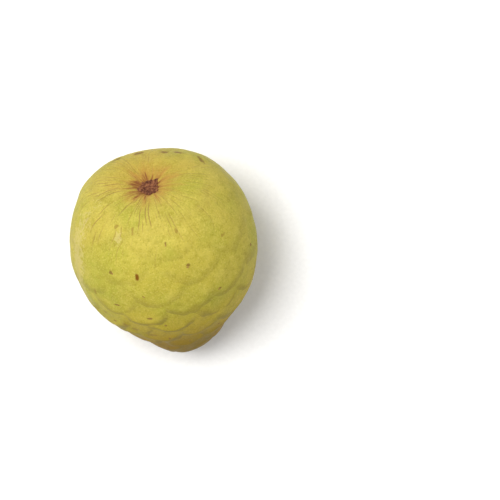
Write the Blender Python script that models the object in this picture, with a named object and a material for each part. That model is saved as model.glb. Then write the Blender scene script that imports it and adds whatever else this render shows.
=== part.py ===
"""A whole cherimoya, as picked, lying on its flank on a small flat spot.

The fruit grew as one piece, so it is one solid. Its own axis runs from the blunt tip to the stem hollow.
In that axis's frame, +Z is the stem end, +X the fruit's right flank and -Y the flank that faces up at rest.
Metres, +Z up, origin under the middle of the fruit on the surface that it lies on, stem end towards +Y.
"""

import math

import bmesh
import bpy
import numpy as np
from mathutils import Matrix

# The smooth body: a heart, as the distance from its middle to the skin in each direction
BODY_RADIUS = 0.0438
OUTLINE = (0.388, 0, 0.030, -0.014)  # shares of the radius, on the cosines of 1 to 4 times the polar angle
RIGHT_FLANK = 0.0205  # how much fuller the right flank is than the left, as shares of the radius
SIDE_PINCH = 0.011  # narrows the sides above the middle and fills them below it
BELLY = 0.090  # the flank that it lies on is fuller than the one on top
DEPTH_SHARE = 0.961  # the fruit is a little less deep than wide

# Its two ends
TIP_LENGTH = 0.0206
TIP_SPREAD = 0.597  # radians
TIP_LEAN = 0.045  # radians, towards the right flank
HOLLOW_DEPTH = 0.0082
HOLLOW_SPREAD = 0.33  # radians
HOLLOW_LEAN = 0.098  # radians, towards the flank on top
STALK_PIT_DEPTH = 0.0018
STALK_PIT_SPREAD = 0.085  # radians

# The scales, each the outer end of one carpel, set in the spiral of a pine cone
SCALE_COUNT = 74
GOLDEN_ANGLE = math.pi * (3 - math.sqrt(5))
FIRST_SCALE = math.radians(168)  # its direction round the stem, from the right flank
SCALE_HEIGHT = 0.0011
SCALE_OVERLAP = 1.18  # a scale's half width as a share of half the spacing
SCALE_FLOOR = 0.25  # the height of a scale's dished middle, as a share of its lower rim
RIM_WIDTH = 0.24  # how far the rim takes to fall, as a share of the half width
SMOOTH_SHOULDER = (0.6, 1.9)  # polar angles between which the scales rise out of the smooth shoulder
SHOULDER_SHARE = 0.20
TIP_RISE = (1.9, 2.8)  # polar angles between which they grow to their height at the tip
TIP_SHARE = 1.30
SCALE_JITTER = 0.10  # how far a scale strays from the spiral, as a share of the spacing
SEED = 14

# How it lies
AXIS_TILT = math.radians(33.4)  # the stem end's height above level
FLAT_SPOT_DEPTH = 0.0019  # how much of the round flank the flat spot takes off

# The mesh
FACES_PER_SIDE = 27  # along each edge of the cube that is rounded into the fruit

SKIN_COLOUR = (0.54, 0.50, 0.10, 1)
SKIN_ROUGHNESS = 0.5


def clear_scene():
    for item in list(bpy.data.objects):
        bpy.data.objects.remove(item)


def skin_material():
    material = bpy.data.materials.new("yellow_green_skin")
    material.use_nodes = True
    shader = material.node_tree.nodes["Principled BSDF"]
    shader.inputs["Base Color"].default_value = SKIN_COLOUR
    shader.inputs["Roughness"].default_value = SKIN_ROUGHNESS
    shader.inputs["Metallic"].default_value = 0
    return material


def bell(distance, spread):
    """1 in the middle, falling to nothing over about twice the spread."""
    return np.exp(-((distance / spread) ** 2))


def ease(low, high, value):
    """0 below low, 1 above high, and smooth between them. It runs down where low is the larger."""
    share = np.clip((value - low) / (high - low), 0, 1)
    return share * share * (3 - 2 * share)


def angle_from(axis, directions):
    return np.arccos(np.clip(directions @ axis, -1, 1))


def body_radius(directions):
    """The smooth body's distance from its middle, for each unit vector."""
    side, up, along = directions[:, 0], -directions[:, 1], directions[:, 2]
    polar = angle_from((0, 0, 1), directions)
    outline = 1 + sum(share * np.cos((n + 1) * polar) for n, share in enumerate(OUTLINE))
    flanks = 1 + RIGHT_FLANK * side - SIDE_PINCH * side**2 * along - BELLY * up
    from_tip = angle_from((math.sin(TIP_LEAN), 0, -math.cos(TIP_LEAN)), directions)
    tip = TIP_LENGTH * bell(from_tip, TIP_SPREAD)
    from_stalk = angle_from((0, -math.sin(HOLLOW_LEAN), math.cos(HOLLOW_LEAN)), directions)
    hollow = HOLLOW_DEPTH * bell(from_stalk, HOLLOW_SPREAD)
    stalk_pit = STALK_PIT_DEPTH * bell(from_stalk, STALK_PIT_SPREAD)
    return BODY_RADIUS * outline * flanks + tip - hollow - stalk_pit


def scale_centres():
    """Unit vectors to the scales, stem end first, each turned by the golden angle from the one before."""
    strays = np.random.default_rng(SEED).uniform(-1, 1, (SCALE_COUNT, 2)) * SCALE_JITTER
    spacing = math.sqrt(4 * math.pi / SCALE_COUNT)
    centres = []
    for n, (along_stray, round_stray) in enumerate(strays * spacing):
        polar = math.acos(1 - 2 * (n + 0.5) / SCALE_COUNT) + along_stray
        azimuth = FIRST_SCALE + n * GOLDEN_ANGLE + round_stray / math.sin(polar)
        centres.append(
            (math.sin(polar) * math.cos(azimuth), math.sin(polar) * math.sin(azimuth), math.cos(polar))
        )
    return np.array(centres)


def scale_height(directions):
    """How far the scales stand out of the smooth body. Each is a dish with a rim, highest towards the tip."""
    half_width = SCALE_OVERLAP * math.sqrt(4 * math.pi / SCALE_COUNT) / 2
    highest = np.zeros(len(directions))
    for centre in scale_centres():
        sideways = np.cross((0, 0, 1), centre)
        sideways /= np.linalg.norm(sideways)
        downwards = np.cross(sideways, centre)
        across = directions @ sideways / half_width
        down = directions @ downwards / half_width
        reach = np.maximum(np.hypot(across, down), 1e-6)
        lower_half = (1 + down / reach) / 2
        rim = SCALE_FLOOR + (1 - SCALE_FLOOR) * reach**2 * lower_half
        height = rim * ease(1 + RIM_WIDTH, 1, reach) * (directions @ centre > 0)
        highest = np.maximum(highest, height)
    polar = angle_from((0, 0, 1), directions)
    rise = SHOULDER_SHARE + (1 - SHOULDER_SHARE) * ease(*SMOOTH_SHOULDER, polar)
    rise += (TIP_SHARE - 1) * ease(*TIP_RISE, polar)
    return SCALE_HEIGHT * rise * highest


def fruit_mesh():
    """A finely divided cube, rounded into a ball and pushed out to the skin, in the frame of its own axis."""
    mesh = bpy.data.meshes.new("cherimoya")
    shape = bmesh.new()
    bmesh.ops.create_cube(shape, size=2)
    bmesh.ops.subdivide_edges(shape, edges=shape.edges, cuts=FACES_PER_SIDE - 1, use_grid_fill=True)
    directions = np.tan(np.array([vertex.co for vertex in shape.verts]) * math.pi / 4)
    directions /= np.linalg.norm(directions, axis=1, keepdims=True)
    distances = body_radius(directions) + scale_height(directions)
    for vertex, direction, distance in zip(shape.verts, directions, distances):
        vertex.co = direction * distance * (1, DEPTH_SHARE, 1)
    shape.to_mesh(mesh)
    shape.free()
    return mesh


def lay_down(mesh):
    """Tips the stem end to its resting height, presses the flat spot and centres the fruit on the origin."""
    mesh.transform(Matrix.Rotation(AXIS_TILT - math.pi / 2, 4, "X"))
    points = np.array([vertex.co for vertex in mesh.vertices])
    lowest, highest = points.min(axis=0), points.max(axis=0)
    middle = (lowest + highest) / 2
    points -= (middle[0], middle[1], lowest[2] + FLAT_SPOT_DEPTH)
    points[:, 2] = np.maximum(points[:, 2], 0)
    mesh.vertices.foreach_set("co", points.ravel())
    mesh.update()


def build_fruit(collection):
    mesh = fruit_mesh()
    lay_down(mesh)
    mesh.shade_smooth()
    mesh.materials.append(skin_material())
    collection.objects.link(bpy.data.objects.new("cherimoya", mesh))


clear_scene()
fruit = bpy.data.collections.new("cherimoya")
bpy.context.scene.collection.children.link(fruit)
build_fruit(fruit)
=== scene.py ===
"""The finished surface of a whole cherimoya, lying on its flank, on a pale floor under soft light.

The fruit is grown in the frame of its own axis and then laid down over the CAD solid, whose smooth body and
spiral of scales it repeats. In that frame +Z is the stem end, +X the right flank, and -Y faces up at rest.
"""

import math

import bmesh
import bpy
import numpy as np
from mathutils import Euler, Matrix, Vector
from mathutils.bvhtree import BVHTree


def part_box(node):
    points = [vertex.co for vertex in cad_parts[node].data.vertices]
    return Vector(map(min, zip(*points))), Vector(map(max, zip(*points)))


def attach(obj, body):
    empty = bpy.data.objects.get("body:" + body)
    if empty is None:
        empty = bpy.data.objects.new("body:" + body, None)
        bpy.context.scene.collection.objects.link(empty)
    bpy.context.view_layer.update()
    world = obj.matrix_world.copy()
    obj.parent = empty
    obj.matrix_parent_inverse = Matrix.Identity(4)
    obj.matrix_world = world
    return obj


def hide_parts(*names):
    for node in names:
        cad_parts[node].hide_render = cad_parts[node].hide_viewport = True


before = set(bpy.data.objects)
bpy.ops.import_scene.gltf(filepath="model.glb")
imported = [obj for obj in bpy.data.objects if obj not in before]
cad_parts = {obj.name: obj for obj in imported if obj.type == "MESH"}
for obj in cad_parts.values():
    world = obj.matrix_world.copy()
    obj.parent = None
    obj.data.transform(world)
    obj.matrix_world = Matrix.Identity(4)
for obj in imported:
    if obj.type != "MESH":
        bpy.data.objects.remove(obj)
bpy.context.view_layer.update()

MM = 0.001

# The smooth body, as in the CAD: the distance from its middle to the skin in each direction
BODY_RADIUS = 43.8 * MM
OUTLINE = (0.388, 0, 0.030, -0.014)  # shares of the radius, on the cosines of 1 to 4 times the polar angle
RIGHT_FLANK = 0.0205
SIDE_PINCH = 0.011
BELLY = 0.090
DEPTH_SHARE = 0.961
TIP_LENGTH = 20.6 * MM
TIP_SPREAD = 0.597
TIP_LEAN = 0.045
HOLLOW_DEPTH = 8.2 * MM
HOLLOW_SPREAD = 0.33
HOLLOW_LEAN = 0.098
STALK_PIT_DEPTH = 1.8 * MM
STALK_PIT_SPREAD = 0.085

# The spiral of scales, as in the CAD
SCALE_COUNT = 74
GOLDEN_ANGLE = math.pi * (3 - math.sqrt(5))
FIRST_SCALE = math.radians(168)
SCALE_SPACING = math.sqrt(4 * math.pi / SCALE_COUNT)  # radians
SCALE_OVERLAP = 1.18
SCALE_HALF_WIDTH = SCALE_OVERLAP * SCALE_SPACING / 2
SCALE_JITTER = 0.10
TIP_RISE = (1.9, 2.8)  # polar angles between which the scales grow to their height at the tip
SEED = 14

# How it lies, as in the CAD
AXIS_TILT = math.radians(33.4)
FLAT_SPOT_DEPTH = 1.9 * MM

# The fine skin
FACES_PER_SIDE = 126  # along each edge of the cube that is rounded into the fruit
MEAN_RADIUS = 42 * MM  # turns a length along the skin into an angle
RIM_LINE = (0.86, 1.16)  # where the line along a scale's rim starts and is plainest, in its half widths
RIM_LINE_LEAN = (0.0, 0.8)  # the same round the rim, as the share that a place lies towards the tip

# Swellings and hollows of the rind: degrees from the stem end, degrees round it from the right flank, and
# the height and spread in mm
SWELLINGS = [(18, 75, -1.1, 10), (27, 142, 0.7, 10), (40, 150, 1.0, 5), (52, 176, -0.7, 6),
             (60, 200, -0.6, 10), (95, 330, 0.7, 10), (100, 90, 0.8, 10), (70, 20, -0.7, 10)]

# What the rind has met with, and pale patches of painted reflection. Each mark: degrees from the stem end,
# degrees round it, and in mm half its length towards the tip and half its width
INSECT_SPOTS = [(59, 252, 1.7, 1.0), (118, 60, 1.2, 0.8)]
BRUISES = [(34, 234, 1.1, 0.9), (35, 250, 1.6, 0.5), (39, 286, 1.3, 0.6), (52, 318, 0.7, 1.2),
           (60, 60, 1.2, 1.8), (74, 216, 1.7, 0.9), (93, 215, 1.6, 1.0), (101, 231, 2.2, 1.4),
           (108, 236, 1.5, 3.0), (118, 247, 1.3, 3.5), (88, 20, 2.4, 1.8), (105, 120, 2.6, 2.0)]
SCABS = [(24, 124, 0.9, 2.2), (22, 98, 1.5, 2.0), (21, 64, 1.3, 1.5), (23, 47, 1.0, 2.2), (28, 22, 0.9, 2.8)]
# Pale patches on the fruit's left side: painted reflection of light
PAINTED_REFLECTIONS = [(39, 238, 2.6, 1.6), (62, 197, 19.0, 5.0), (120, 150, 9.0, 5.0)]
MARK_FINISHES = [  # the attribute, its colour, how strongly it covers the skin, and how ragged it is
    # The first row: the pale patches, painted reflection of light
    ("pale_rub", "#C8B877", 0.42, 1.6),
    ("bruise", "#86692A", 0.60, 1.2),
    ("scab", "#6E4A24", 0.74, 0.9),
    ("insect_spot", "#74460E", 0.95, 0.35),
]

# Small corky flecks, strewn over the rind besides these
FLECK_COUNT = 44
BARE_SCALES = 6  # the scales nearest the stalk, which have none
FLECK_PLACE = (0.45, 0.95)  # the distance from the scale's middle towards its lower rim, in its half widths
FLECK_SIDE_STRAY = 0.09  # radians
FLECK_HALF_LENGTH = (0.55, 0.85)  # mm
FLECK_HALF_WIDTH = 0.5  # mm, of the narrowest
FLECK_EXTRA_WIDTH = 0.45  # mm, the mean of what the others have more

# The creases that fan out of the hollow
CREASE_COUNT = 84  # lanes round the stalk, along which creases run
CREASE_STRAY = 2.4  # lanes
CREASE_STRAY_RATE = 3.0  # waves of the stray to a radian
CREASE_LENGTH = 11 * MM
CREASE_HALF_WIDTH = 0.6 * MM  # of the groove
RUSSET_HALF_WIDTH = 0.21 * MM  # of the line of cork along its bottom
CREASE_EDGES = (0.3, 1.4)  # where a crease starts and ends to fade at its side, in half widths
CREASE_BREAKS = (0.42, 0.66)  # the noise below which it breaks off, and above which it is whole
CREASES_START = (0.09, 0.20)  # radians from the stalk
CREASES_END = (0.45, 1.0)
ROW_STEP = 5.17  # how far apart in the noise two creases read their breaks
RUBBED_SIDE = math.radians(212)  # the way round the stalk where russet lines are plainest


def linear(hex_colour):
    """An sRGB hex colour as linear red, green, blue and alpha."""
    parts = [int(hex_colour[n : n + 2], 16) / 255 for n in (1, 3, 5)]
    return (*[p / 12.92 if p <= 0.04045 else ((p + 0.055) / 1.055) ** 2.4 for p in parts], 1)


def add(tree, kind, settings=None, inputs=None):
    """Adds a node, sets its properties, and gives its inputs, by name or number, values or links."""
    node = tree.nodes.new(kind)
    for name, value in (settings or {}).items():
        setattr(node, name, value)
    for key, value in (inputs or {}).items():
        socket = node.inputs[key] if isinstance(key, int) else live(node.inputs, key)
        if isinstance(value, bpy.types.Node):
            value = live(value.outputs)
        if isinstance(value, bpy.types.NodeSocket):
            tree.links.new(value, socket)
        else:
            socket.default_value = value
    return node


def live(sockets, name=None):
    """The first socket in use, or the first of that name."""
    return next(s for s in sockets if s.enabled and name in (None, s.name))


def bell(distance, spread):
    return np.exp(-((distance / spread) ** 2))


def angle_from(axis, directions):
    return np.arccos(np.clip(directions @ axis, -1, 1))


def unit_vector(from_stem, around):
    """The direction at an angle from the stem end and an angle round it, in radians."""
    return np.array([math.sin(from_stem) * math.cos(around), math.sin(from_stem) * math.sin(around),
                     math.cos(from_stem)])


def body_radius(directions):
    """The smooth body's distance from its middle, for each unit vector."""
    side, up, along = directions[:, 0], -directions[:, 1], directions[:, 2]
    polar = angle_from((0, 0, 1), directions)
    outline = 1 + sum(share * np.cos((n + 1) * polar) for n, share in enumerate(OUTLINE))
    flanks = 1 + RIGHT_FLANK * side - SIDE_PINCH * side**2 * along - BELLY * up
    from_tip = angle_from((math.sin(TIP_LEAN), 0, -math.cos(TIP_LEAN)), directions)
    tip = TIP_LENGTH * bell(from_tip, TIP_SPREAD)
    from_stalk = angle_from((0, -math.sin(HOLLOW_LEAN), math.cos(HOLLOW_LEAN)), directions)
    hollow = HOLLOW_DEPTH * bell(from_stalk, HOLLOW_SPREAD)
    stalk_pit = STALK_PIT_DEPTH * bell(from_stalk, STALK_PIT_SPREAD)
    return BODY_RADIUS * outline * flanks + tip - hollow - stalk_pit


def swelling(directions):
    """How far the uneven rind stands out of the smooth body."""
    total = np.zeros(len(directions))
    for from_stem, around, height, spread in SWELLINGS:
        place = unit_vector(math.radians(from_stem), math.radians(around))
        total += height * MM * bell(angle_from(place, directions), spread * MM / MEAN_RADIUS)
    return total


def scale_centres():
    """Unit vectors to the scales, stem end first, each turned by the golden angle from the one before."""
    strays = np.random.default_rng(SEED).uniform(-1, 1, (SCALE_COUNT, 2)) * SCALE_JITTER
    centres = []
    for n, (along_stray, round_stray) in enumerate(strays * SCALE_SPACING):
        polar = math.acos(1 - 2 * (n + 0.5) / SCALE_COUNT) + along_stray
        centres.append(unit_vector(polar, FIRST_SCALE + n * GOLDEN_ANGLE + round_stray / math.sin(polar)))
    return centres


def fleck_marks():
    """Corky flecks, each near the lower rim of one of the scales, as marks like those above."""
    rng = np.random.default_rng(SEED + 1)
    marks = []
    for centre in rng.permutation(scale_centres()[BARE_SCALES:])[:FLECK_COUNT]:
        from_stem = math.acos(centre[2]) + rng.uniform(*FLECK_PLACE) * SCALE_HALF_WIDTH
        around = math.atan2(centre[1], centre[0]) + rng.normal(0, FLECK_SIDE_STRAY)
        half_width = FLECK_HALF_WIDTH + rng.exponential(FLECK_EXTRA_WIDTH)
        half_length = rng.uniform(*FLECK_HALF_LENGTH)
        marks.append((math.degrees(from_stem), math.degrees(around), half_length, half_width))
    return marks


def helper_points(name, directions, **attributes):
    """A helper object with one vertex in each direction, which the trees below read."""
    mesh = bpy.data.meshes.new(name)
    mesh.from_pydata(directions, [], [])
    for key, values in attributes.items():
        mesh.attributes.new(key, "FLOAT", "POINT").data.foreach_set("value", values)
    return bpy.data.objects.new(name, mesh)


def rounded_cube(faces_per_side):
    """A finely divided cube rounded into a ball, as a mesh and its unit vectors."""
    mesh = bpy.data.meshes.new("blank")
    shape = bmesh.new()
    bmesh.ops.create_cube(shape, size=2)
    bmesh.ops.subdivide_edges(shape, edges=shape.edges, cuts=faces_per_side - 1, use_grid_fill=True)
    shape.to_mesh(mesh)
    shape.free()
    corners = np.empty(len(mesh.vertices) * 3, np.float32)
    mesh.vertices.foreach_get("co", corners)
    directions = np.tan(corners.reshape(-1, 3).astype(float) * math.pi / 4)
    return mesh, directions / np.linalg.norm(directions, axis=1, keepdims=True)


def mark_field(directions, marks):
    """For each direction, 1 in the middle of the nearest mark, 0 at its rim and -1 well outside."""
    field = np.full(len(directions), -1.0)
    for from_stem, around, half_length, half_width in marks:
        centre = unit_vector(math.radians(from_stem), math.radians(around))
        sideways = np.cross((0, 0, 1), centre)
        sideways /= np.linalg.norm(sideways)
        across = directions @ sideways / (half_width * MM / MEAN_RADIUS)
        along = directions @ np.cross(sideways, centre) / (half_length * MM / MEAN_RADIUS)
        nearness = np.where(directions @ centre > 0, 1 - np.hypot(across, along), -1)
        field = np.maximum(field, nearness)
    return field


def body_blank(flecks):
    """The uneven body. Attributes keep each vertex's direction from the middle and its nearness to marks."""
    mesh, directions = rounded_cube(FACES_PER_SIDE)
    distances = body_radius(directions) + swelling(directions)
    mesh.vertices.foreach_set("co", (directions * distances[:, None] * (1, DEPTH_SHARE, 1)).ravel())
    kept = mesh.attributes.new("direction", "FLOAT_VECTOR", "POINT")
    kept.data.foreach_set("vector", directions.astype(np.float32).ravel())
    # The pale patches among these are painted reflection of light
    kinds = {"insect_spot": INSECT_SPOTS, "bruise": BRUISES, "scab": SCABS + flecks, "pale_rub": PAINTED_REFLECTIONS}
    for name, marks in kinds.items():
        kept = mesh.attributes.new(name, "FLOAT", "POINT")
        kept.data.foreach_set("value", mark_field(directions, marks).astype(np.float32))
    return bpy.data.objects.new("cherimoya_skin", mesh)


def tree_inputs(tree, rows):
    """Gives the tree geometry in and out, and named inputs, each a name, a socket type and a value."""
    tree.interface.new_socket("Geometry", in_out="INPUT", socket_type="NodeSocketGeometry")
    for name, kind, value in rows:
        socket = tree.interface.new_socket(name, in_out="INPUT", socket_type=kind)
        if value is not None:
            socket.default_value = value
    tree.interface.new_socket("Geometry", in_out="OUTPUT", socket_type="NodeSocketGeometry")
    return tree.nodes.new("NodeGroupInput"), tree.nodes.new("NodeGroupOutput")


def polar_angle(tree, direction):
    along = add(tree, "ShaderNodeSeparateXYZ", inputs={0: direction}).outputs["Z"]
    return add(tree, "ShaderNodeMath", {"operation": "ARCCOSINE"}, {0: along})


def about_stalk(tree, direction):
    """The direction in a frame whose +Z runs out through the stalk's scar."""
    return add(tree, "ShaderNodeVectorRotate", {"rotation_type": "X_AXIS"},
               {"Vector": direction, "Angle": -HOLLOW_LEAN})


def heading(tree, direction):
    """The way round the pole that a direction lies, as a level unit vector."""
    level = add(tree, "ShaderNodeVectorMath", {"operation": "MULTIPLY"}, {0: direction, 1: (1, 1, 0)})
    return add(tree, "ShaderNodeVectorMath", {"operation": "NORMALIZE"}, {0: level})


def ray_noise(tree, from_stalk, lines_round, drift, detail):
    """Noise drawn out into rays that run away from the stalk, about as many as lines_round."""
    ring = add(tree, "ShaderNodeVectorMath", {"operation": "SCALE"},
               {0: heading(tree, from_stalk), "Scale": lines_round / (2 * math.pi)})
    polar = polar_angle(tree, from_stalk)
    outwards = add(tree, "ShaderNodeMath", {"operation": "MULTIPLY"}, {0: polar, 1: drift})
    along = add(tree, "ShaderNodeCombineXYZ", inputs={"Z": outwards})
    where = add(tree, "ShaderNodeVectorMath", {"operation": "ADD"}, {0: ring, 1: along})
    return add(tree, "ShaderNodeTexNoise", {"noise_dimensions": "4D"},
               {"Vector": where, "W": float(SEED), "Scale": 1.0, "Detail": detail})


def fading_in(tree, value, start, end, least=0.0, most=1.0):
    """Eases from the least to the most as the value goes from the start to the end."""
    return add(tree, "ShaderNodeMapRange", {"interpolation_type": "SMOOTHSTEP"},
               {"Value": value, "From Min": start, "From Max": end, "To Min": least, "To Max": most})


def fading_out(tree, value, start, end):
    return fading_in(tree, value, start, end, 1.0, 0.0)


def stalk_creases(tree, from_stalk, half_width):
    """Thin creases that run away from the stalk in broken lengths: 1 along each, falling to 0 beside it."""
    polar = polar_angle(tree, from_stalk)
    parts = add(tree, "ShaderNodeSeparateXYZ", inputs={0: from_stalk})
    around = add(tree, "ShaderNodeMath", {"operation": "ARCTAN2"},
                 {0: parts.outputs["Y"], 1: parts.outputs["X"]})
    straying = add(tree, "ShaderNodeTexNoise",
                   inputs={"Vector": from_stalk, "Scale": CREASE_STRAY_RATE, "Detail": 1.0})
    stray = add(tree, "ShaderNodeMapRange", {"clamp": False},
                {"Value": straying, "To Min": -CREASE_STRAY, "To Max": CREASE_STRAY})
    lane = add(tree, "ShaderNodeMath", {"operation": "MULTIPLY_ADD"},
               {0: around, 1: CREASE_COUNT / (2 * math.pi), 2: stray})
    number = add(tree, "ShaderNodeMath", {"operation": "FLOOR"}, {0: lane})
    within = add(tree, "ShaderNodeMath", {"operation": "FRACT"}, {0: lane})
    off_middle = add(tree, "ShaderNodeMath", {"operation": "SUBTRACT"}, {0: within, 1: 0.5})
    lanes_off = add(tree, "ShaderNodeMath", {"operation": "ABSOLUTE"}, {0: off_middle})
    level = add(tree, "ShaderNodeMath", {"operation": "SINE"}, {0: polar})
    lane_width = add(tree, "ShaderNodeMath", {"operation": "MULTIPLY"},
                     {0: level, 1: 2 * math.pi * MEAN_RADIUS / CREASE_COUNT})
    distance = add(tree, "ShaderNodeMath", {"operation": "MULTIPLY"}, {0: lanes_off, 1: lane_width})
    line = fading_out(tree, distance, *[share * half_width for share in CREASE_EDGES])

    # Each crease breaks off and starts again at places of its own
    repeats = add(tree, "ShaderNodeMath", {"operation": "FLOORED_MODULO"},
                  {0: number, 1: float(CREASE_COUNT)})
    own_row = add(tree, "ShaderNodeMath", {"operation": "MULTIPLY"}, {0: repeats, 1: ROW_STEP})
    along = add(tree, "ShaderNodeMath", {"operation": "DIVIDE"}, {0: polar, 1: CREASE_LENGTH / MEAN_RADIUS})
    spot = add(tree, "ShaderNodeCombineXYZ", inputs={"X": own_row, "Y": along})
    lengths = add(tree, "ShaderNodeTexNoise", inputs={"Vector": spot, "Scale": 1.0, "Detail": 1.0})
    crease = line
    for share in (fading_in(tree, lengths, *CREASE_BREAKS), fading_out(tree, polar, *CREASES_END),
                  fading_in(tree, polar, *CREASES_START)):
        crease = add(tree, "ShaderNodeMath", {"operation": "MULTIPLY"}, {0: crease, 1: share})
    return crease


def wandering(tree, given, direction):
    """The direction, strayed by a slow noise, so that the scales' outlines are uneven."""
    per_radian = add(tree, "ShaderNodeMath", {"operation": "DIVIDE"},
                     {0: 1.0, 1: given.outputs["Wander size"]})
    noise = add(tree, "ShaderNodeTexNoise", {"noise_dimensions": "4D"},
                {"Vector": direction, "W": given.outputs["Seed"], "Scale": per_radian, "Detail": 2.0})
    centred = add(tree, "ShaderNodeVectorMath", {"operation": "SUBTRACT"},
                  {0: noise.outputs["Color"], 1: (0.5, 0.5, 0.5)})
    stray = add(tree, "ShaderNodeVectorMath", {"operation": "SCALE"},
                {0: centred, "Scale": given.outputs["Wander"]})
    strayed = add(tree, "ShaderNodeVectorMath", {"operation": "ADD"}, {0: direction, 1: stray})
    return add(tree, "ShaderNodeVectorMath", {"operation": "NORMALIZE"}, {0: strayed})


def scale_relief(tree, given, geometry):
    """Goes through the scales, and keeps each vertex's height on the highest and its nearness to the rim."""
    points = add(tree, "GeometryNodeObjectInfo", inputs={"Object": given.outputs["Scale centres"]})
    count = add(tree, "GeometryNodeAttributeDomainSize", inputs={"Geometry": points.outputs["Geometry"]})
    start = add(tree, "GeometryNodeRepeatInput", inputs={"Iterations": count.outputs["Point Count"]})
    end = tree.nodes.new("GeometryNodeRepeatOutput")
    start.pair_with_output(end)
    tree.links.new(geometry, start.inputs["Geometry"])
    number = start.outputs["Iteration"]
    direction = add(tree, "GeometryNodeInputNamedAttribute", {"data_type": "FLOAT_VECTOR"},
                    {"Name": "strayed_direction"})

    position = tree.nodes.new("GeometryNodeInputPosition")
    centre = add(tree, "GeometryNodeSampleIndex", {"data_type": "FLOAT_VECTOR"},
                 {"Geometry": points.outputs["Geometry"], "Value": position, "Index": number})
    across = add(tree, "ShaderNodeVectorMath", {"operation": "CROSS_PRODUCT"}, {0: (0, 0, 1), 1: centre})
    sideways = add(tree, "ShaderNodeVectorMath", {"operation": "NORMALIZE"}, {0: across})
    downwards = add(tree, "ShaderNodeVectorMath", {"operation": "CROSS_PRODUCT"}, {0: sideways, 1: centre})
    to_side = add(tree, "ShaderNodeVectorMath", {"operation": "DOT_PRODUCT"}, {0: direction, 1: sideways})
    to_tip = add(tree, "ShaderNodeVectorMath", {"operation": "DOT_PRODUCT"}, {0: direction, 1: downwards})
    offset = add(tree, "ShaderNodeCombineXYZ",
                 inputs={"X": to_side.outputs["Value"], "Y": to_tip.outputs["Value"]})
    widths = add(tree, "ShaderNodeMath", {"operation": "DIVIDE"},
                 {0: 1.0, 1: given.outputs["Scale half width"]})
    place = add(tree, "ShaderNodeVectorMath", {"operation": "SCALE"}, {0: offset, "Scale": widths})
    reach = add(tree, "ShaderNodeVectorMath", {"operation": "LENGTH"}, {0: place}).outputs["Value"]
    lean = add(tree, "ShaderNodeSeparateXYZ", inputs={0: heading(tree, place)}).outputs["Y"]

    # The dish: level in its middle, and rising with the square of the distance to the rim nearer the tip
    lower_half = add(tree, "ShaderNodeMath", {"operation": "MULTIPLY_ADD"}, {0: lean, 1: 0.5, 2: 0.5})
    square = add(tree, "ShaderNodeMath", {"operation": "MULTIPLY"}, {0: reach, 1: reach})
    dish = add(tree, "ShaderNodeMath", {"operation": "MULTIPLY"}, {0: square, 1: lower_half})
    bowl = add(tree, "ShaderNodeMapRange", {"clamp": False},
               {"Value": dish, "To Min": given.outputs["Dished middle"], "To Max": 1.0})
    outer = add(tree, "ShaderNodeMath", {"operation": "ADD"}, {0: 1.0, 1: given.outputs["Rim width"]})
    within = fading_out(tree, reach, 1.0, outer)
    towards = add(tree, "ShaderNodeVectorMath", {"operation": "DOT_PRODUCT"}, {0: direction, 1: centre})
    same_side = add(tree, "ShaderNodeMath", {"operation": "GREATER_THAN"},
                    {0: towards.outputs["Value"], 1: 0.0})
    share = add(tree, "FunctionNodeRandomValue", {"data_type": "FLOAT"},
                {"Min": given.outputs["Lowest scale"], "Max": 1.0, "ID": number})
    height = bowl
    for factor in (within, same_side, share):
        height = add(tree, "ShaderNodeMath", {"operation": "MULTIPLY"}, {0: height, 1: factor})

    # The rim nearer the tip, where the skin is rubbed and the next scale's shade lies
    at_rim = fading_in(tree, reach, *RIM_LINE)
    tipwards = fading_in(tree, lean, *RIM_LINE_LEAN)
    rim = add(tree, "ShaderNodeMath", {"operation": "MULTIPLY"}, {0: at_rim, 1: tipwards})

    so_far = add(tree, "GeometryNodeInputNamedAttribute", {"data_type": "FLOAT"}, {"Name": "scale_height"})
    higher = add(tree, "FunctionNodeCompare", {"data_type": "FLOAT", "operation": "GREATER_THAN"},
                 {"A": height, "B": so_far})
    rimmed = add(tree, "GeometryNodeStoreNamedAttribute", {"data_type": "FLOAT"},
                 {"Geometry": start.outputs["Geometry"], "Selection": higher, "Name": "scale_rim",
                  "Value": rim})
    raised = add(tree, "GeometryNodeStoreNamedAttribute", {"data_type": "FLOAT"},
                 {"Geometry": rimmed, "Selection": higher, "Name": "scale_height", "Value": height})
    tree.links.new(raised.outputs[0], end.inputs["Geometry"])
    return end.outputs["Geometry"]


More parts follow.
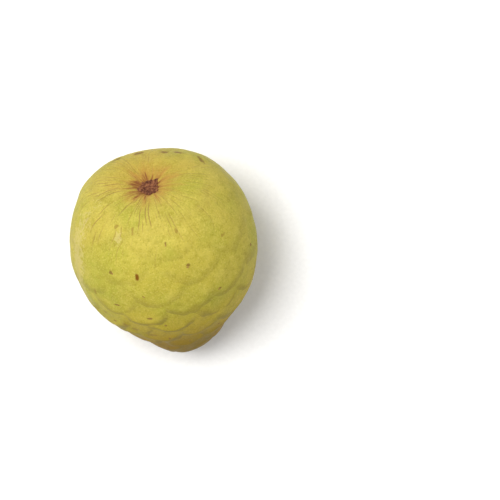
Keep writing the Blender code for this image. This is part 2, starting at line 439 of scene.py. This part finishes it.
def skin_tree():
    """Raises the scales, wrinkles and lumps on the smooth body."""
    tree = bpy.data.node_groups.new("grow_skin", "GeometryNodeTree")
    given, made = tree_inputs(tree, [
        ("Scale centres", "NodeSocketObject", None),
        ("Scale half width", "NodeSocketFloat", SCALE_HALF_WIDTH),
        ("Scale height", "NodeSocketFloat", 1.1 * MM),
        ("Lowest scale", "NodeSocketFloat", 0.45),
        ("Dished middle", "NodeSocketFloat", 0.25),
        ("Rim width", "NodeSocketFloat", 0.48),
        ("Smooth shoulder from", "NodeSocketFloat", 0.85),
        ("Smooth shoulder to", "NodeSocketFloat", 2.1),
        ("Shoulder share", "NodeSocketFloat", 0.22),
        ("Tip gain", "NodeSocketFloat", 0.35),
        ("Wander", "NodeSocketFloat", 0.18),
        ("Wander size", "NodeSocketFloat", 0.22),
        ("Crease depth", "NodeSocketFloat", 0.16 * MM),
        ("Lump height", "NodeSocketFloat", 0.9 * MM),
        ("Lump size", "NodeSocketFloat", 0.30),
        ("Seed", "NodeSocketFloat", float(SEED)),
        ("Skin", "NodeSocketMaterial", None),
    ])
    direction = add(tree, "GeometryNodeInputNamedAttribute", {"data_type": "FLOAT_VECTOR"},
                    {"Name": "direction"})
    polar = polar_angle(tree, direction)
    strayed = add(tree, "GeometryNodeStoreNamedAttribute", {"data_type": "FLOAT_VECTOR"},
                  {"Geometry": given.outputs["Geometry"], "Name": "strayed_direction",
                   "Value": wandering(tree, given, direction)})
    geometry = scale_relief(tree, given, strayed.outputs[0])

    scales = add(tree, "GeometryNodeInputNamedAttribute", {"data_type": "FLOAT"}, {"Name": "scale_height"})
    below_shoulder = fading_in(tree, polar, given.outputs["Smooth shoulder from"],
                               given.outputs["Smooth shoulder to"], given.outputs["Shoulder share"])
    at_tip = fading_in(tree, polar, *TIP_RISE, most=given.outputs["Tip gain"])
    rise = add(tree, "ShaderNodeMath", {"operation": "ADD"}, {0: below_shoulder, 1: at_tip})
    risen = add(tree, "ShaderNodeMath", {"operation": "MULTIPLY"}, {0: scales, 1: rise})
    scale_part = add(tree, "ShaderNodeMath", {"operation": "MULTIPLY"},
                     {0: risen, 1: given.outputs["Scale height"]})

    creases = stalk_creases(tree, about_stalk(tree, direction), CREASE_HALF_WIDTH)
    crease_part = add(tree, "ShaderNodeMath", {"operation": "MULTIPLY"},
                      {0: creases, 1: given.outputs["Crease depth"]})
    per_radian = add(tree, "ShaderNodeMath", {"operation": "DIVIDE"},
                     {0: 1.0, 1: given.outputs["Lump size"]})
    lumps = add(tree, "ShaderNodeTexNoise", {"noise_dimensions": "4D"},
                {"Vector": direction, "W": given.outputs["Seed"], "Scale": per_radian, "Detail": 1.0})
    lump_part = add(tree, "ShaderNodeMapRange", {"clamp": False},
                    {"Value": lumps, "From Min": 0.5, "From Max": 1.0,
                     "To Max": given.outputs["Lump height"]})
    with_lumps = add(tree, "ShaderNodeMath", {"operation": "ADD"}, {0: scale_part, 1: lump_part})
    total = add(tree, "ShaderNodeMath", {"operation": "SUBTRACT"}, {0: with_lumps, 1: crease_part})

    flattened = add(tree, "ShaderNodeVectorMath", {"operation": "MULTIPLY"},
                    {0: direction, 1: (1, DEPTH_SHARE, 1)})
    outwards = add(tree, "ShaderNodeVectorMath", {"operation": "SCALE"}, {0: flattened, "Scale": total})
    moved = add(tree, "GeometryNodeSetPosition", inputs={"Geometry": geometry, "Offset": outwards})
    smooth = add(tree, "GeometryNodeSetShadeSmooth", inputs={"Geometry": moved})
    single = add(tree, "GeometryNodeRealizeInstances", inputs={"Geometry": smooth})
    painted = add(tree, "GeometryNodeSetMaterial",
                  inputs={"Geometry": single, "Material": given.outputs["Skin"]})
    tree.links.new(painted.outputs[0], made.inputs["Geometry"])
    return tree


def fleck_tree():
    """Sets a thin ragged flake of cork on the skin at each point, long side across the fruit."""
    tree = bpy.data.node_groups.new("set_corky_flecks", "GeometryNodeTree")
    given, made = tree_inputs(tree, [
        ("Skin object", "NodeSocketObject", None),
        ("Flake size", "NodeSocketFloat", 0.6),
        ("Flake thickness", "NodeSocketFloat", 0.14 * MM),
        ("Ragged by", "NodeSocketFloat", 0.3 * MM),
        ("Ragged grain", "NodeSocketFloat", 0.8 * MM),
        ("Seed", "NodeSocketFloat", float(SEED)),
        ("Cork", "NodeSocketMaterial", None),
    ])
    place = add(tree, "GeometryNodeInputPosition")
    across = add(tree, "ShaderNodeVectorMath", {"operation": "CROSS_PRODUCT"}, {0: (0, 0, 1), 1: place})
    inwards = add(tree, "ShaderNodeVectorMath", {"operation": "SCALE"}, {0: place, "Scale": -1.0})
    skin = add(tree, "GeometryNodeObjectInfo", inputs={"Object": given.outputs["Skin object"]})
    ray = add(tree, "GeometryNodeRaycast", {"data_type": "FLOAT"},
              {"Target Geometry": skin.outputs["Geometry"], "Source Position": place,
               "Ray Direction": inwards, "Ray Length": 1.0})
    turned = add(tree, "FunctionNodeAxesToRotation", {"primary_axis": "Z", "secondary_axis": "X"},
                 {"Primary Axis": ray.outputs["Hit Normal"], "Secondary Axis": across})
    kept_turn = add(tree, "GeometryNodeStoreNamedAttribute", {"data_type": "QUATERNION"},
                    {"Geometry": given.outputs["Geometry"], "Name": "turn", "Value": turned})
    landed = add(tree, "GeometryNodeSetPosition",
                 inputs={"Geometry": kept_turn, "Position": ray.outputs["Hit Position"]})

    size = add(tree, "ShaderNodeCombineXYZ", inputs={"Z": given.outputs["Flake thickness"]})
    for axis, name in (("X", "half_width"), ("Y", "half_length")):
        half_size = add(tree, "GeometryNodeInputNamedAttribute", {"data_type": "FLOAT"}, {"Name": name})
        reach = add(tree, "ShaderNodeMath", {"operation": "MULTIPLY"},
                    {0: half_size, 1: given.outputs["Flake size"]})
        tree.links.new(live(reach.outputs), size.inputs[axis])
    flake = add(tree, "GeometryNodeMeshIcoSphere", inputs={"Radius": 1.0, "Subdivisions": 3})
    turn = add(tree, "GeometryNodeInputNamedAttribute", {"data_type": "QUATERNION"}, {"Name": "turn"})
    flakes = add(tree, "GeometryNodeInstanceOnPoints",
                 inputs={"Points": landed, "Instance": flake.outputs["Mesh"], "Rotation": turn,
                         "Scale": size})
    single = add(tree, "GeometryNodeRealizeInstances", inputs={"Geometry": flakes})
    per_metre = add(tree, "ShaderNodeMath", {"operation": "DIVIDE"},
                    {0: 1.0, 1: given.outputs["Ragged grain"]})
    noise = add(tree, "ShaderNodeTexNoise", {"noise_dimensions": "4D"},
                {"Vector": add(tree, "GeometryNodeInputPosition"), "W": given.outputs["Seed"],
                 "Scale": per_metre, "Detail": 2.0})
    centred = add(tree, "ShaderNodeVectorMath", {"operation": "SUBTRACT"},
                  {0: noise.outputs["Color"], 1: (0.5, 0.5, 0.5)})
    stray = add(tree, "ShaderNodeVectorMath", {"operation": "SCALE"},
                {0: centred, "Scale": given.outputs["Ragged by"]})
    ragged = add(tree, "GeometryNodeSetPosition", inputs={"Geometry": single, "Offset": stray})
    smooth = add(tree, "GeometryNodeSetShadeSmooth", inputs={"Geometry": ragged})
    painted = add(tree, "GeometryNodeSetMaterial",
                  inputs={"Geometry": smooth, "Material": given.outputs["Cork"]})
    tree.links.new(painted.outputs[0], made.inputs["Geometry"])
    return tree


def grown(piece, tree, **settings):
    """Runs a tree on a piece and gives the piece the plain mesh that comes out."""
    bpy.context.scene.collection.objects.link(piece)
    modifier = piece.modifiers.new(tree.name, "NODES")
    modifier.node_group = tree
    sockets = {item.name: item.identifier for item in tree.interface.items_tree if item.in_out == "INPUT"}
    for name, value in settings.items():
        modifier[sockets[name.replace("_", " ")]] = value
    bpy.context.view_layer.update()
    evaluated = piece.evaluated_get(bpy.context.evaluated_depsgraph_get())
    mesh = bpy.data.meshes.new_from_object(evaluated)
    mesh.name = piece.name
    piece.modifiers.remove(modifier)
    piece.data = mesh
    return piece


# The stalk's scar
SCAR_RADIUS = 0.092  # radians, as seen from the body's middle
SCAR_LOBES = (3, 5, 8, 13, 21)  # the waves that make its edge ragged
SCAR_SEGMENTS = 72
SCAR_RINGS = 36
SCAR_RAGGEDNESS = 0.17  # how far a single slow wave would move the edge, as a share of the radius
# Its height over the skin, in mm: a raised collar, a low boss in the middle, and cracks that run outwards
COLLAR_HEIGHT = 0.50
COLLAR_PLACE = 0.80  # as a share of the radius
COLLAR_SPREAD = 0.14
BOSS_HEIGHT = 0.30
BOSS_SPREAD = 0.28
LEAST_HEIGHT = 0.20
CRACK_COUNT = 11
CRACK_DEPTH = 0.20
ROOT_DEPTH = 0.6  # how far its underside reaches into the skin, in mm


def closed_ball(segments, rings):
    """A ball of radius 1 as its points and its faces, which run in rings between a point at each pole."""
    levels = [math.pi * ring / rings for ring in range(1, rings)]
    points = [unit_vector(level, 2 * math.pi * n / segments) for level in levels for n in range(segments)]
    top, bottom, last_ring = len(points), len(points) + 1, len(points) - segments
    faces = []
    for n in range(segments):
        after = (n + 1) % segments
        faces.append((top, n, after))
        for ring in range(0, last_ring, segments):
            faces.append((ring + n, ring + segments + n, ring + segments + after, ring + after))
        faces.append((bottom, last_ring + after, last_ring + n))
    return np.array([*points, (0, 0, 1), (0, 0, -1)]), faces


def stem_scar(skin, material):
    """The corky scar that the stalk left, as a thin ragged shell pressed onto the bottom of the hollow."""
    rng = np.random.default_rng(SEED + 2)
    waves = [(k, rng.uniform(0, 2 * math.pi), SCAR_RAGGEDNESS / math.sqrt(k)) for k in SCAR_LOBES]
    places, faces = closed_ball(SCAR_SEGMENTS, SCAR_RINGS)
    out = np.hypot(places[:, 0], places[:, 1])
    azimuth = np.arctan2(places[:, 1], places[:, 0])
    ragged = 1 + sum(size * np.cos(k * azimuth + phase) for k, phase, size in waves)
    polar = SCAR_RADIUS * out * (1 + (ragged - 1) * out)
    upright = np.stack([np.sin(polar) * np.cos(azimuth), np.sin(polar) * np.sin(azimuth), np.cos(polar)], 1)
    directions = upright @ np.array(Matrix.Rotation(HOLLOW_LEAN, 3, "X")).T
    collar = COLLAR_HEIGHT * bell(out - COLLAR_PLACE, COLLAR_SPREAD)
    raised = collar + BOSS_HEIGHT * bell(out, BOSS_SPREAD) + LEAST_HEIGHT
    uneven_turn = CRACK_COUNT * azimuth + 2.2 * np.sin(3 * azimuth)
    cracks = CRACK_DEPTH * np.cos(uneven_turn) * out * bell(out - 0.65, 0.35)
    upper = (raised + cracks) * np.clip(places[:, 2] * 3, 0, 1)
    thickness = np.where(places[:, 2] > 0, upper, places[:, 2] * ROOT_DEPTH) * MM
    surface = BVHTree.FromObject(skin, bpy.context.evaluated_depsgraph_get())
    points = []
    for direction, lift in zip(directions, thickness):
        onto_skin = surface.ray_cast((0, 0, 0), direction)[0]
        points.append(onto_skin + Vector(direction) * lift)
    mesh = bpy.data.meshes.new("stem_scar")
    mesh.from_pydata(points, [], faces)
    mesh.shade_smooth()
    mesh.materials.append(material)
    scar = bpy.data.objects.new("stem_scar", mesh)
    bpy.context.scene.collection.objects.link(scar)
    return scar


def lay_down(skin, others):
    """Tips the stem end to its resting height over the CAD solid, and presses the flat spot."""
    low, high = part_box("cherimoya")
    tip_over = Matrix.Rotation(AXIS_TILT - math.pi / 2, 4, "X")
    skin.data.transform(tip_over)
    points = np.empty(len(skin.data.vertices) * 3, np.float32)
    skin.data.vertices.foreach_get("co", points)
    points = points.reshape(-1, 3)
    middle = (points.min(axis=0) + points.max(axis=0)) / 2
    shift = Vector(((low.x + high.x) / 2 - float(middle[0]), (low.y + high.y) / 2 - float(middle[1]),
                    low.z - FLAT_SPOT_DEPTH - float(points[:, 2].min())))
    for piece in (skin, *others):
        if piece is not skin:
            piece.data.transform(tip_over)
        piece.data.transform(Matrix.Translation(shift))
        for vertex in piece.data.vertices:
            vertex.co.z = max(vertex.co.z, low.z)


def ramp(tree, factor, stops):
    """A colour ramp over hex colours."""
    node = add(tree, "ShaderNodeValToRGB", inputs={"Fac": factor})
    elements = node.color_ramp.elements
    while len(elements) < len(stops):
        elements.new(0.5)
    for element, (place, colour) in zip(elements, stops):
        element.position = place
        element.color = linear(colour)
    return node


def painted_over(tree, below, colour, factor):
    """The colour below, mixed with a hex colour by a factor."""
    return add(tree, "ShaderNodeMix", {"data_type": "RGBA"},
               {"Factor": factor, "A": live(below.outputs), "B": linear(colour)})


def mark_mask(tree, name, edges, strength, raggedness):
    """A mark's area, up to a strength, from its attribute and the noise that breaks up its edge."""
    field = add(tree, "ShaderNodeAttribute", {"attribute_name": name}).outputs["Fac"]
    stray = add(tree, "ShaderNodeMapRange", {"clamp": False},
                {"Value": edges, "To Min": -raggedness, "To Max": raggedness})
    uneven = add(tree, "ShaderNodeMath", {"operation": "ADD"}, {0: field, 1: stray})
    return fading_in(tree, uneven, *MARK_EDGES, most=strength)


# The rind's colours from the stem end to the tip, at shares of the way
ALONG_THE_FRUIT = [(0.0, "#B79D46"), (0.14, "#B3A249"), (0.28, "#B3A542"), (0.60, "#ADA037")]
# Painted shade multiplied over them: darker and browner towards the tip, which lies low in shadow
TIP_SHADE_RAMP = [(0.02, "#F2ECDE"), (0.16, "#FFFFFF"), (0.46, "#FFFFFF"), (0.58, "#FFF4D4"),
                     (0.68, "#EBD89A"), (0.80, "#CBB05A"), (1.0, "#B59540")]
# Patches laid over them in turn: their grain in mm, its detail, the noise values between which they come in,
# their colour, and how far they cover
PATCHES = [
    (20, 2, (0.42, 0.68), "#9A9C36", 0.60),  # greener clouds
    (6, 4, (0.50, 0.75), "#C6B755", 0.55),  # paler blotches
    (2.5, 1, (0.50, 0.75), "#94892B", 0.45),  # a darker mottle
    (0.8, 1, (0.50, 0.72), "#CABA5A", 0.50),  # a lighter grain, like orange peel
]
PORE_SPACING = 1.1 * MM  # a little coarser than real ones, so that they show
PORE_EDGES = (0.12, 0.40)  # shares of the spacing
PORE_COVER = 0.32
RUSSET_COVER = (0.25, 0.62)  # on the smooth side of the hollow and on the rubbed one
HALO_EDGES = (0.06, 0.30)  # radians from the stalk
HALO_COVER = 0.62
HALO_STRAY = 0.10  # radians
RAY_COLLAR_EDGES = (0.05, 0.15)
LEFT_REACH = 0.08  # how much further the rays reach on the left
STREAK_COVER = (0.35, 0.95)
RIM_LINE_RISE = (0.8, 2.2)  # polar angles between which the lines below the scales' rims come in
RIM_LINE_COVER = (0.12, 0.60)
MARK_EDGES = (-0.15, 0.45)  # nearness to a mark at which it starts to show and is plain
MARK_GRAIN = 1.6 * MM
BLOOM_GRAIN = 6 * MM
ROUGHNESS = (0.50, 0.64)
PEBBLE_GRAIN = 1.0 * MM
CRIMPS_END = (0.35, 1.1)
CRIMP_SHARE = 2.4
RELIEF_HEIGHT = 0.12 * MM


def rind_material():
    """Cherimoya rind: thin, leathery and waxy, so it has a satin sheen. Russet is cork over scratches."""
    material = bpy.data.materials.new("waxy_leathery_rind")
    material.use_nodes = True
    tree = material.node_tree
    shader = tree.nodes["Principled BSDF"]
    place = add(tree, "ShaderNodeTexCoord").outputs["Object"]
    direction = add(tree, "ShaderNodeAttribute", {"attribute_name": "direction"}).outputs["Vector"]
    direction = add(tree, "ShaderNodeVectorMath", {"operation": "NORMALIZE"}, {0: direction})
    polar = polar_angle(tree, direction)
    from_stalk = about_stalk(tree, direction)
    stalk_polar = polar_angle(tree, from_stalk)

    # Golden at the stem end and yellow-green over the middle, with patches
    share = add(tree, "ShaderNodeMath", {"operation": "DIVIDE"}, {0: polar, 1: math.pi})
    colour = ramp(tree, share, ALONG_THE_FRUIT)
    for grain, detail, (start, end), paint, cover in PATCHES:
        noise = add(tree, "ShaderNodeTexNoise",
                    inputs={"Vector": place, "Scale": 1 / (grain * MM), "Detail": float(detail)})
        patch = add(tree, "ShaderNodeMapRange",
                    inputs={"Value": noise, "From Min": start, "From Max": end, "To Max": cover})
        colour = painted_over(tree, colour, paint, patch)
    pores = add(tree, "ShaderNodeTexVoronoi", inputs={"Vector": place, "Scale": 1 / PORE_SPACING})
    pore = fading_in(tree, pores.outputs["Distance"], *PORE_EDGES, PORE_COVER, 0.0)
    colour = painted_over(tree, colour, "#7C7A22", pore)

    # Painted shade: darker and browner towards the tip, which lies low in shadow, and a little darker at the
    # stem end
    tip_shade = ramp(tree, share, TIP_SHADE_RAMP)
    colour = add(tree, "ShaderNodeMix", {"data_type": "RGBA", "blend_type": "MULTIPLY"},
                 {"Factor": 1.0, "A": live(colour.outputs), "B": tip_shade})

    # Russet lines along the creases, plainer on some sides of the hollow than on others
    creases = stalk_creases(tree, from_stalk, RUSSET_HALF_WIDTH)
    round_stalk = heading(tree, from_stalk)
    rubbed_side = add(tree, "ShaderNodeVectorMath", {"operation": "DOT_PRODUCT"},
                      {0: round_stalk, 1: unit_vector(math.pi / 2, RUBBED_SIDE)}).outputs["Value"]
    smooth_side, worn_side = RUSSET_COVER
    rubbed = add(tree, "ShaderNodeMapRange",
                 inputs={"Value": rubbed_side, "From Min": -0.1, "From Max": 0.7,
                         "To Min": smooth_side, "To Max": worn_side})
    russet = add(tree, "ShaderNodeMath", {"operation": "MULTIPLY"}, {0: creases, 1: rubbed})
    colour = painted_over(tree, colour, "#86633A", russet)

    # The stem hollow: a light brown halo, and dark rays that reach furthest on the left
    rays = ray_noise(tree, from_stalk, lines_round=34, drift=5.0, detail=5.0)
    stray = add(tree, "ShaderNodeMapRange", {"clamp": False},
                {"Value": rays, "From Min": 0.3, "From Max": 0.7,
                 "To Min": -HALO_STRAY, "To Max": HALO_STRAY})
    ragged = add(tree, "ShaderNodeMath", {"operation": "ADD"}, {0: stalk_polar, 1: stray})
    halo = fading_out(tree, ragged, *HALO_EDGES)
    halo = add(tree, "ShaderNodeMath", {"operation": "MULTIPLY"}, {0: halo, 1: HALO_COVER})
    colour = painted_over(tree, colour, "#AC783C", halo)
    side = add(tree, "ShaderNodeSeparateXYZ", inputs={0: round_stalk}).outputs["X"]
    leftward = add(tree, "ShaderNodeMapRange",
                   inputs={"Value": side, "From Min": -0.4, "From Max": -1.0, "To Max": LEFT_REACH})
    nearer = add(tree, "ShaderNodeMath", {"operation": "SUBTRACT"}, {0: ragged, 1: leftward})
    collar = fading_out(tree, nearer, *RAY_COLLAR_EDGES)
    between_streaks, on_streaks = STREAK_COVER
    fine_rays = ray_noise(tree, from_stalk, lines_round=120, drift=9.0, detail=3.0)
    streaks = add(tree, "ShaderNodeMapRange",
                  inputs={"Value": fine_rays, "From Min": 0.38, "From Max": 0.56,
                          "To Min": between_streaks, "To Max": on_streaks})
    collar = add(tree, "ShaderNodeMath", {"operation": "MULTIPLY"}, {0: collar, 1: streaks})
    colour = painted_over(tree, colour, "#774527", collar)

    # Scale rims: an olive-brown line just below each raised edge, plainest near the tip; partly painted
    # shade under the edge, partly rubbed skin
    rim = add(tree, "ShaderNodeAttribute", {"attribute_name": "scale_rim"}).outputs["Fac"]
    below = fading_in(tree, polar, *RIM_LINE_RISE, *RIM_LINE_COVER)
    edge = add(tree, "ShaderNodeMath", {"operation": "MULTIPLY"}, {0: rim, 1: below})
    colour = painted_over(tree, colour, "#786722", edge)

    # What the rind has met with, and the pale patches of painted reflection
    edges = add(tree, "ShaderNodeTexNoise", inputs={"Vector": place, "Scale": 1 / MARK_GRAIN, "Detail": 3.0})
    for name, paint, strength, raggedness in MARK_FINISHES:
        colour = painted_over(tree, colour, paint, mark_mask(tree, name, edges, strength, raggedness))
    tree.links.new(live(colour.outputs), shader.inputs["Base Color"])

    # A satin sheen, uneven where the bloom is rubbed, over flesh that lets a little light through
    bloom = add(tree, "ShaderNodeTexNoise",
                inputs={"Vector": place, "Scale": 1 / BLOOM_GRAIN, "Detail": 4.0})
    sheen, dullest = ROUGHNESS
    dull = add(tree, "ShaderNodeMapRange",
               inputs={"Value": bloom, "From Min": 0.3, "From Max": 0.7, "To Min": sheen, "To Max": dullest})
    tree.links.new(live(dull.outputs), shader.inputs["Roughness"])
    shader.inputs["Specular IOR Level"].default_value = 0.08
    shader.inputs["Subsurface Weight"].default_value = 0.12
    shader.inputs["Subsurface Radius"].default_value = (1.0, 0.8, 0.25)
    shader.inputs["Subsurface Scale"].default_value = 1.5 * MM

    # Fine relief: pores, a pebbled grain, and crimps too fine for the mesh around the hollow
    pebbles = add(tree, "ShaderNodeTexNoise",
                  inputs={"Vector": place, "Scale": 1 / PEBBLE_GRAIN, "Detail": 2.0})
    pitted = add(tree, "ShaderNodeMath", {"operation": "SUBTRACT"}, {0: pebbles, 1: pore})
    pitted = add(tree, "ShaderNodeMath", {"operation": "SUBTRACT"}, {0: pitted, 1: creases})
    crimps = ray_noise(tree, from_stalk, lines_round=190, drift=4.0, detail=2.0)
    crimped = add(tree, "ShaderNodeMath", {"operation": "MULTIPLY"},
                  {0: crimps, 1: fading_out(tree, stalk_polar, *CRIMPS_END)})
    relief = add(tree, "ShaderNodeMath", {"operation": "MULTIPLY_ADD"},
                 {0: crimped, 1: CRIMP_SHARE, 2: pitted})
    bump = add(tree, "ShaderNodeBump", inputs={"Height": relief, "Distance": RELIEF_HEIGHT, "Strength": 0.7})
    tree.links.new(live(bump.outputs), shader.inputs["Normal"])
    return material


CORK_GRAIN = 1.1 * MM
CORK_RELIEF = 0.2 * MM
# Each cork's colours, at values of its grain
SCAR_COLOURS = [(0.34, "#48271B"), (0.5, "#6C412C"), (0.68, "#8F5F3D")]
FLECK_COLOURS = [(0.3, "#7A5A2C"), (0.5, "#94713A"), (0.72, "#B08F50")]


def cork_material(name, stops):
    """Cork that has grown over a wound: dry and dull, brown, rough to the touch."""
    material = bpy.data.materials.new(name)
    material.use_nodes = True
    tree = material.node_tree
    shader = tree.nodes["Principled BSDF"]
    place = add(tree, "ShaderNodeTexCoord").outputs["Object"]
    grain = add(tree, "ShaderNodeTexNoise", inputs={"Vector": place, "Scale": 1 / CORK_GRAIN, "Detail": 3.0})
    colour = ramp(tree, grain, stops)
    tree.links.new(live(colour.outputs), shader.inputs["Base Color"])
    shader.inputs["Roughness"].default_value = 0.85
    shader.inputs["Specular IOR Level"].default_value = 0.15
    bump = add(tree, "ShaderNodeBump", inputs={"Height": grain, "Distance": CORK_RELIEF, "Strength": 0.5})
    tree.links.new(live(bump.outputs), shader.inputs["Normal"])
    return material


# The stage and the camera
CAMERA_HEIGHT = 1.0
SILHOUETTE_HEIGHT = 38 * MM  # where the fruit is widest, seen from above
VIEW_WIDTH = 245 * MM  # at that height
SENSOR_WIDTH = 36.0
CAMERA_TURN = math.radians(-10.4)  # the fruit's stem end points a little left of the view's top
FRUIT_RIGHT = -41.4 * MM  # the fruit's place from the middle of the view
FRUIT_UP = -1.0 * MM
FRUIT_MIDDLE = (0, 0, 40 * MM)  # where the lamps point
FLOOR_SIZE = 8
FLOOR_DROP = 0.2 * MM  # keeps the sheet clear of the flat spot
PAPER_GRAIN = 2 * MM


def floor():
    """Matt white paper under the fruit: it scatters light evenly and has no shine."""
    material = bpy.data.materials.new("matt_white_paper")
    material.use_nodes = True
    tree = material.node_tree
    shader = tree.nodes["Principled BSDF"]
    place = add(tree, "ShaderNodeTexCoord").outputs["Object"]
    fibre = add(tree, "ShaderNodeTexNoise",
                inputs={"Vector": place, "Scale": 1 / PAPER_GRAIN, "Detail": 3.0})
    shade = ramp(tree, fibre, [(0.3, "#F3F2F0"), (0.7, "#F8F7F5")])
    tree.links.new(live(shade.outputs), shader.inputs["Base Color"])
    shader.inputs["Roughness"].default_value = 0.9
    bpy.ops.mesh.primitive_plane_add(size=FLOOR_SIZE, location=(0, 0, -FLOOR_DROP))
    sheet = bpy.context.object
    sheet.name = "floor"
    sheet.data.materials.append(material)


def soft_light(name, place, size, watts):
    """A square lamp that faces the fruit."""
    data = bpy.data.lights.new(name, "AREA")
    data.size = size
    data.energy = watts
    lamp = bpy.data.objects.new(name, data)
    lamp.location = place
    lamp.rotation_euler = (Vector(FRUIT_MIDDLE) - lamp.location).to_track_quat("-Z", "Y").to_euler()
    bpy.context.scene.collection.objects.link(lamp)


def light_and_camera():
    world = bpy.data.worlds.new("pale_room")
    world.use_nodes = True
    world.node_tree.nodes["Background"].inputs["Color"].default_value = linear("#F5F6F8")
    world.node_tree.nodes["Background"].inputs["Strength"].default_value = 0.45
    bpy.context.scene.world = world
    soft_light("key", place=(-0.38, 0.28, 1.22), size=0.7, watts=18.4)
    soft_light("fill", place=(0.9, -0.1, 1.0), size=1.2, watts=3)

    data = bpy.data.cameras.new("camera")
    data.sensor_width = SENSOR_WIDTH
    data.lens = SENSOR_WIDTH * (CAMERA_HEIGHT - SILHOUETTE_HEIGHT) / VIEW_WIDTH
    camera = bpy.data.objects.new("camera", data)
    turn = Euler((0, 0, CAMERA_TURN))
    offset = Vector((-FRUIT_RIGHT, -FRUIT_UP, CAMERA_HEIGHT))
    offset.rotate(turn)
    camera.location = offset
    camera.rotation_euler = turn
    bpy.context.scene.collection.objects.link(camera)
    bpy.context.scene.camera = camera
    bpy.context.scene.view_settings.view_transform = "Standard"


def main():
    rind = rind_material()
    scar_cork = cork_material("wound_cork", SCAR_COLOURS)
    fleck_cork = cork_material("dry_flaked_cork", FLECK_COLOURS)
    centres = helper_points("scale_centres", scale_centres())
    flecks = fleck_marks()
    skin = grown(body_blank(flecks), skin_tree(), Scale_centres=centres, Skin=rind)
    bpy.data.objects.remove(centres)
    scar = stem_scar(skin, scar_cork)
    places = [unit_vector(math.radians(from_stem), math.radians(around))
              for from_stem, around, _, _ in flecks]
    flakes = helper_points("corky_flecks", places, half_length=[row[2] * MM for row in flecks],
                           half_width=[row[3] * MM for row in flecks])
    grown(flakes, fleck_tree(), Skin_object=skin, Cork=fleck_cork)
    lay_down(skin, (scar, flakes))
    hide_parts("cherimoya")
    for piece in (skin, scar, flakes):
        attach(piece, "root")
    floor()
    light_and_camera()


main()
